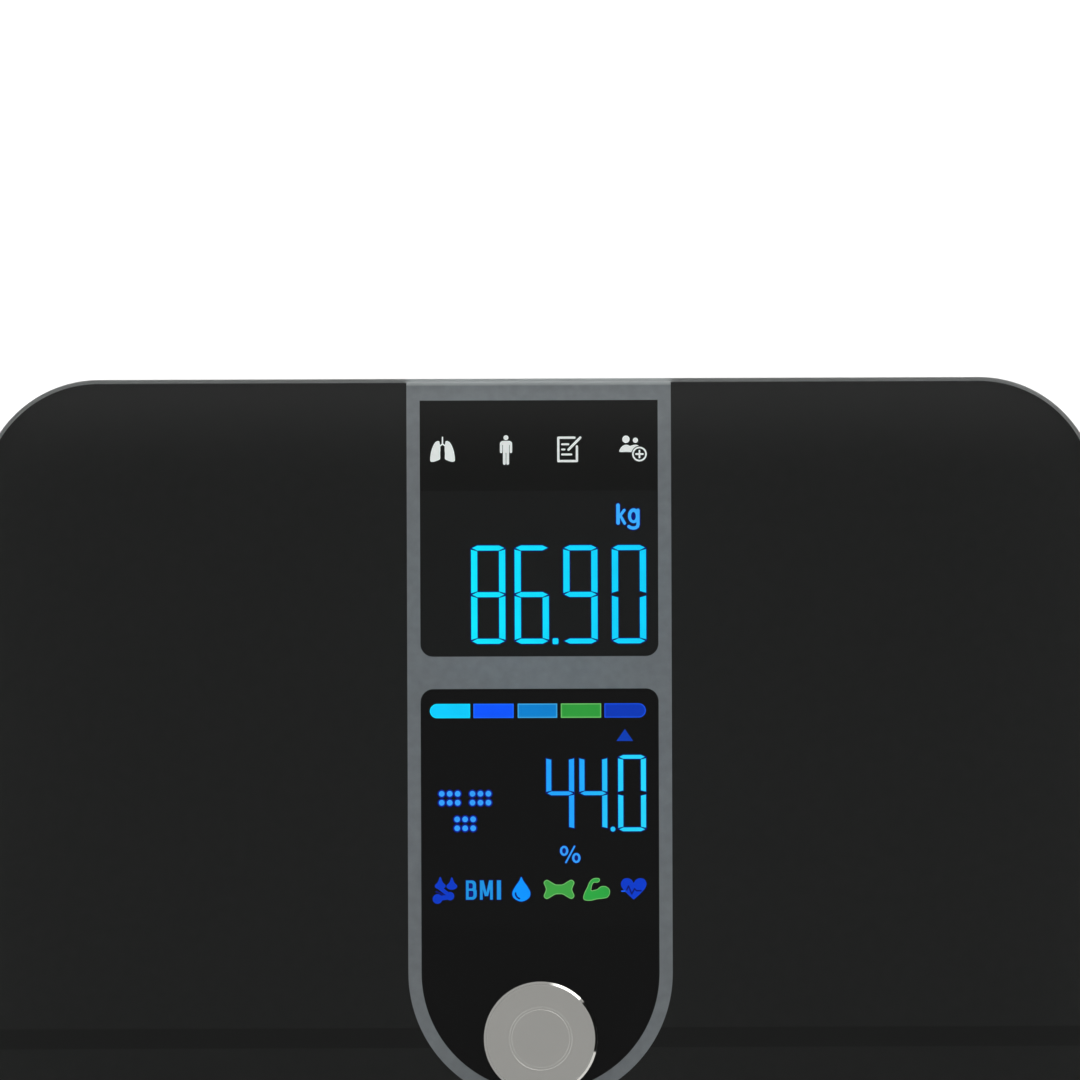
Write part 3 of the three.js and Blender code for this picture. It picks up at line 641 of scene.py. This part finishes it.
def build_measure_icons():
    """The row of small lit pictograms at the foot of the lower display."""
    deep, rim = lit("icon_deep_blue", srgb(0, 56, 198)), lit("icon_rim_blue", srgb(18, 96, 250))
    half_flask = [(0.15, 2.1), (0.6, 0.95), (1.32, 0.15), (1.2, -0.45), (0.45, -0.85)]
    flask = smooth(half_flask + mirrored(half_flask), 4)
    cells = moved([flask], -25.05, 38.1) + moved([flask], -22.15, 38.0)
    cells += [disc(-25.75, 34.8, 1.22), disc(-22.6, 35.5, 1.05)]
    cells += [capsule((-25.1, 37.5), (-22.9, 35.8), 1.0), capsule((-25.6, 34.9), (-22.8, 35.3), 1.2)]
    show("icon_fat", cells, FILL_TOP, deep)
    show("icon_fat_gap", [capsule((-26.0, 36.6), (-24.2, 35.8), 0.5)], HALO_TOP, NAVY)

    outlines, holes = letters_bmi(-18.6, 34.6, 4.8)
    mark("icon_bmi", outlines, lit("icon_pale_blue", srgb(26, 146, 224)), holes, halo=0.15)

    right_side = [(0.55, 39.2), (1.65, 37.6), (2.25, 36.2), (1.8, 34.9)]
    drop = smooth(moved([[(0, 34.1), *mirrored(right_side), (0, 40.2), *right_side]], -4.75, 0)[0])
    shine = stroke(arc(-4.75, 36.2, 1.45, 180, 250, 8), 0.42)
    mark("icon_water", [drop], lit("icon_water_blue", srgb(0, 146, 255)), shine, halo=0.18)

    green = lit("icon_green", srgb(62, 160, 66))
    pale_green = lit("icon_rim_green", srgb(112, 188, 104))
    end = [(1.0, 1.2), (2.2, 1.9), (3.1, 2.3), (3.75, 1.7), (3.35, 0.6)]
    side = end + [(3.2, 0)] + [(x, -y) for x, y in reversed(end)]
    bone = smooth(moved([side + [(0, -1.1)] + mirrored(side) + [(0, 1.1)]], 4.7, 37.1)[0], 4)
    show("icon_bone_rim", [grown(bone, 0.1)], FILL_TOP, pale_green)
    show("icon_bone", [grown(bone, -0.12)], TRIM_TOP, green)

    fist = [(13.0, 39.6), (13.8, 39.85), (14.7, 39.8), (14.85, 39.2), (14.3, 38.8), (13.5, 38.8)]
    elbow = [(13.0, 38.3), (12.75, 36.9), (13.3, 36.8), (14.3, 37.1), (15.2, 37.75), (16.3, 37.8)]
    shoulder = [(17.2, 37.2), (17.4, 36.1), (16.8, 35.1), (15.6, 34.8), (14.2, 34.65), (12.6, 34.3)]
    forearm = [(11.2, 34.4), (10.8, 35.0), (11.1, 36.2), (11.8, 37.6), (12.3, 38.8)]
    arm = smooth(fist + elbow + shoulder + forearm)
    show("icon_muscle_rim", [grown(arm, 0.06)], FILL_TOP, pale_green)
    show("icon_muscle", [grown(arm, -0.14)], TRIM_TOP, lit("icon_muscle_green", srgb(44, 164, 66)))

    half = [(0, 38.7), (0.5, 39.4), (1.5, 39.85), (2.6, 39.6), (3.2, 38.6), (2.9, 37.4)]
    half += [(1.8, 36.1), (0.5, 34.9), (0, 34.55)]
    heart = smooth(moved([half + mirrored(half)[1:-1]], 23.4, 0)[0], 4)
    show("icon_heart", [heart], FILL_TOP, deep)
    pulse = [(21.5, 36.6), (22.1, 37.9), (22.9, 35.9), (23.6, 37.2), (24.1, 36.7), (25.2, 36.7)]
    show("icon_heart_pulse", stroke(pulse, 0.36), TRIM_TOP, NAVY)
    show("icon_heart_lead", stroke([(20.4, 36.6), pulse[0]], 0.34), TRIM_TOP, rim)


def build_printed_icons():
    """Four white pictograms printed above the upper display."""
    # Painted light: the white ink is given a glow of 0.6, so the printed pictograms look brighter than lit
    # ink could.
    white = printed("white_ink_painted_glow", (0.70, 0.715, 0.705), 0.6, glow=0.6)

    def icon(name, outlines, centre, holes=()):
        placed, gaps = moved(outlines, *centre), moved(holes, *centre)
        plate(name, placed, PANEL_TOP - 0.01, WHITE_TOP, white, gaps, slot="ink")

    outside = [(-0.8, 2.0), (-1.3, 2.05), (-1.85, 1.7), (-2.35, 0.9), (-2.75, -0.2), (-3.0, -1.4)]
    below = [(-3.1, -2.7), (-2.85, -3.1), (-2.2, -3.12), (-1.35, -2.85), (-0.72, -2.55)]
    inside = [(-0.57, -2.2), (-0.6, -1.1), (-0.52, 0.0), (-0.6, 0.9), (-0.7, 1.5)]
    lobe = smooth(outside + below + inside, 4)
    airway = stroke([(0, 3.0), (0, 1.35)], 0.36) + stroke([(-0.75, 0.75), (0, 1.35), (0.75, 0.75)], 0.36)
    icon("icon_lungs", [lobe, mirrored(lobe), *airway], (-24.1, 147.4))

    limbs = [capsule((side * 1.22, 1.75), (side * 1.22, -0.4), 0.62) for side in (-1, 1)]
    limbs += [capsule((side * 0.42, 0), (side * 0.42, -3.3), 0.7) for side in (-1, 1)]
    trunk = [rounded(-1.5, 1.35, 1.5, 2.35, [0.2, 0.2, 0.7, 0.7], 6), box(-0.78, -0.6, 0.78, 1.6)]
    icon("icon_person", [disc(0, 3.15, 0.62, 32), *limbs, *trunk], (-8.2, 147.1))

    page = stroke([(1.75, 2.9), (-2.3, 2.9), (-2.3, -2.95), (2.35, -2.95), (2.35, 0.7)], 0.58)
    lines = [capsule((-1.35, y), (x, y), 0.5) for y, x in ((1.25, 0.2), (-0.05, -0.75), (-1.3, 0.95))]
    icon("icon_record", [*page, *lines, capsule((3.2, 2.9), (0.25, -0.1), 0.62)], (7.2, 147.3))

    adult_left = [(-1.7, -0.82), (-3.35, -0.8), (-3.2, 0.0), (-2.5, 0.75), (-1.7, 0.98)]
    adult = smooth(adult_left + [(-0.9, 0.75), (-0.2, 0.05), (-0.1, -0.8)])
    child_top = [(-0.75, 0.55), (-0.2, 0.85), (0.6, 1.0), (1.3, 0.8)]
    child = smooth(child_top + [(1.75, 0.3), (0.9, 0.0), (-0.1, -0.4)])
    badge_at = (1.61, -1.36)
    heads = [disc(-1.76, 2.35, 0.93, 32), disc(0.6, 2.1, 0.66, 32)]
    family_at, reach = (23.6, 147.4), 0.85
    icon("icon_family", [adult, child, *heads], family_at, [disc(*badge_at, 2.05)])
    icon("icon_family_ring", [disc(*badge_at, 1.85)], family_at, [disc(*badge_at, 1.42)])
    plus = [capsule((badge_at[0] - reach, badge_at[1]), (badge_at[0] + reach, badge_at[1]), 0.46)]
    plus.append(capsule((badge_at[0], badge_at[1] - reach), (badge_at[0], badge_at[1] + reach), 0.46))
    icon("icon_family_plus", plus, family_at)


# ---------------------------------------------------------------- badge, feet and underside parts
def build_badge():
    """The badge: a turned face inside a polished chamfer, with a plain ring mark cut into it."""
    low, high = node_mm("centre_badge")
    radius = (high.x - low.x) / 2
    ring_low, ring_high, cut = 7.2, 7.9, 0.03
    profile = [
        (radius - 0.1, low.z),
        (radius, low.z + 0.1),
        (radius, high.z - 0.49),
        (radius - 0.08, high.z - 0.39),
        (BADGE_FACE, high.z),
        (ring_high, high.z),
        (ring_high - 0.05, high.z - cut),
        (ring_low + 0.05, high.z - cut),
        (ring_low, high.z),
    ]
    settings = {"slot": "badge_metal", "replaces": ["centre_badge"], "smooth_angle": 25}
    turned("badge_disc", profile, (0, 0), MATERIALS["badge_metal"], 128, **settings)


def build_feet():
    """Ribbed rubber pads and turned cups."""
    for tag in ("front_left", "front_right", "back_left", "back_right"):
        low, high = node_mm(f"foot_pad_{tag}")
        centre, radius = ((low.x + high.x) / 2, (low.y + high.y) / 2), (high.x - low.x) / 2
        profile = []
        for inner in (2.0, 5.0, 8.0, 11.0, 14.0):
            profile += [(inner, 0.0), (inner + 1.9, 0.0), (inner + 2.1, 0.35), (inner + 2.8, 0.35)]
        profile += [(radius - 0.9, 0.0), (radius - 0.35, 0.12), (radius, 0.6), (radius, high.z)]
        body = f"foot_{tag}"
        settings = {"body": body, "slot": "rubber", "replaces": [f"foot_pad_{tag}"]}
        turned(f"foot_tread_{tag}", profile, centre, MATERIALS["rubber"], 72, **settings)
        low, high = node_mm(f"foot_cup_{tag}")
        radius, pad = (high.x - low.x) / 2, 18.6
        plunger, shoulder = 3.5, 7.4
        profile = [(0.5, 1.6), (pad, 1.6), (pad, low.z + 0.2), (pad + 0.3, low.z), (radius - 1.1, low.z)]
        profile += [(radius - 0.5, low.z + 0.15), (radius - 0.1, low.z + 0.6), (radius, low.z + 1.2)]
        profile += [(radius, shoulder - 0.4), (radius - 0.4, shoulder), (plunger + 0.5, shoulder)]
        profile += [(plunger, shoulder + 0.4), (plunger, high.z - 0.5), (plunger - 0.6, high.z)]
        profile.append((0.5, high.z))
        settings = {"body": body, "slot": "body_plastic", "replaces": [f"foot_cup_{tag}"]}
        turned(f"foot_shell_{tag}", profile, centre, MATERIALS["body_plastic"], 72, **settings)


def build_button():
    """The unit button's cap has a shallow finger dish."""
    low, high = node_mm("unit_button")
    centre = ((low.x + high.x) / 2, (low.y + high.y) / 2)
    flange = (high.x - low.x) / 2
    cap, flange_low = 4.8, 6.3
    profile = [(0.4, low.z + 0.35), (2.2, low.z + 0.22), (3.6, low.z + 0.02), (4.3, low.z)]
    profile += [(cap - 0.15, low.z + 0.15), (cap, low.z + 0.5), (cap, flange_low), (flange, flange_low)]
    profile.append((flange, flange_low + 1))
    profile += [(2, flange_low + 1), (2, high.z - 0.2), (1.8, high.z), (0.4, high.z)]
    settings = {"body": "unit_button", "slot": "button", "replaces": ["unit_button"]}
    turned("unit_button_cap", profile, centre, MATERIALS["button"], 64, **settings)


def dress_nodes():
    """Each CAD node that stays in view gets its slot's material and smooth shading over its curves."""
    for name, node in frame["nodes"].items():
        node.data.materials.clear()
        node.data.materials.append(MATERIALS[SLOT_OF[name]])
        shade(node.data, 32)


# ---------------------------------------------------------------- stage, light and camera
def build_stage():
    """A plain white floor."""
    half = 6.0
    mesh = bpy.data.meshes.new("floor")
    corners = [(x, y, 0) for x, y in box(-half, -half, half, half)]
    mesh.from_pydata(corners, [], [(0, 1, 2, 3)])
    fixed = {"Emission Color": (1, 1, 1, 1), "Emission Strength": 0.56, "Roughness": 0.9}
    made, graph, shader = new_material("floor_white", {**fixed, "Specular IOR Level": 0.1})
    paper = graph.mix(graph.noise(3), (0.82, 0.82, 0.82), (0.85, 0.85, 0.85))
    graph.feed(shader.inputs["Base Color"], paper)
    mesh.materials.append(made)
    floor = bpy.data.objects.new("floor", mesh)
    bpy.context.scene.collection.objects.link(floor)


def build_light():
    """A soft studio dome with a bright ring high up and two softboxes low down.

    A dark flag lies between the softboxes, and straight above there is little but a faint strip.
    """
    world = bpy.data.worlds.new("studio")
    bpy.context.scene.world = world
    world.use_nodes = True
    graph = Graph(world.node_tree)
    way = graph.add("ShaderNodeTexCoord").outputs["Generated"]
    split = graph.add("ShaderNodeSeparateXYZ", {"Vector": way})
    turn = graph.math("ARCTAN2", split.outputs["Y"], split.outputs["X"])
    degrees = graph.math("MULTIPLY", turn, 180 / math.pi)

    def level(value, stops):
        """A brightness that moves through stops of (start, end, level at the start, level at the end)."""
        total = stops[0][1]
        for start, end, low, high in stops[1:]:
            total = graph.math("ADD", total, graph.spread(value, start, end, 0, high - low, "SMOOTHSTEP"))
        return total

    base, lower_box, flag, soft_box = 0.42, 0.85, 0.01, 2.8
    low_ring = level(
        degrees,
        [
            (None, base),
            (-66, -60, base, lower_box),
            (-18, -16, lower_box, flag),
            (37, 39, flag, base),
            (42, 44, base, soft_box),
            (67, 82, soft_box, base),
        ],
    )
    height = split.outputs["Z"]
    ring_start, ring_full, ring_light, top_light = 0.42, 0.56, 1.7, 0.17
    rise, fall = (ring_start, ring_full, 0, ring_light), (0.76, 0.955, ring_light, top_light)
    dome = level(height, [(None, 0.0), rise, fall])
    low_share = graph.spread(height, ring_start, ring_full, 1, 0, "SMOOTHSTEP")
    strength = graph.math("ADD", dome, graph.math("MULTIPLY", low_ring, low_share))
    strip_light = 0.38
    sides = (0.006, 0.024, 0, strip_light), (0.03, 0.05, strip_light, 0)
    strip = level(split.outputs["Y"], [(None, 0.0), *sides])
    overhead = graph.spread(height, 0.95, 0.97, 0, 1)
    strength = graph.math("ADD", strength, graph.math("MULTIPLY", strip, overhead))
    studio = graph.add("ShaderNodeBackground", {"Color": (1, 1, 1, 1), "Strength": strength})
    backdrop = graph.add("ShaderNodeBackground", {"Color": (1, 1, 1, 1), "Strength": 1.0})
    seen = graph.add("ShaderNodeLightPath").outputs["Is Camera Ray"]
    mixed = graph.add("ShaderNodeMixShader", {0: seen, 1: studio.outputs[0], 2: backdrop.outputs[0]})
    graph.add("ShaderNodeOutputWorld", {"Surface": mixed.outputs[0]})


def build_camera():
    """Straight above the display half, from far enough away for almost no perspective."""
    distance, field, sensor = 2.4, 0.270, 36.0
    centre_x, centre_y, roll = 0.235 * MM, 124.6 * MM, math.radians(-0.2)
    data = bpy.data.cameras.new("camera")
    data.sensor_width = sensor
    data.lens = sensor * distance / field
    made = bpy.data.objects.new("camera", data)
    made.location = (centre_x, centre_y, GLASS_TOP * MM + distance)
    made.rotation_euler = (0, 0, roll)
    bpy.context.scene.collection.objects.link(made)
    bpy.context.scene.camera = made


bpy.context.scene.view_settings.view_transform = "Standard"
dress_nodes()
build_glass()
build_print()
build_displays()
build_weight()
build_readings()
build_measure_icons()
build_printed_icons()
build_badge()
build_feet()
build_button()
build_stage()
build_light()
build_camera()
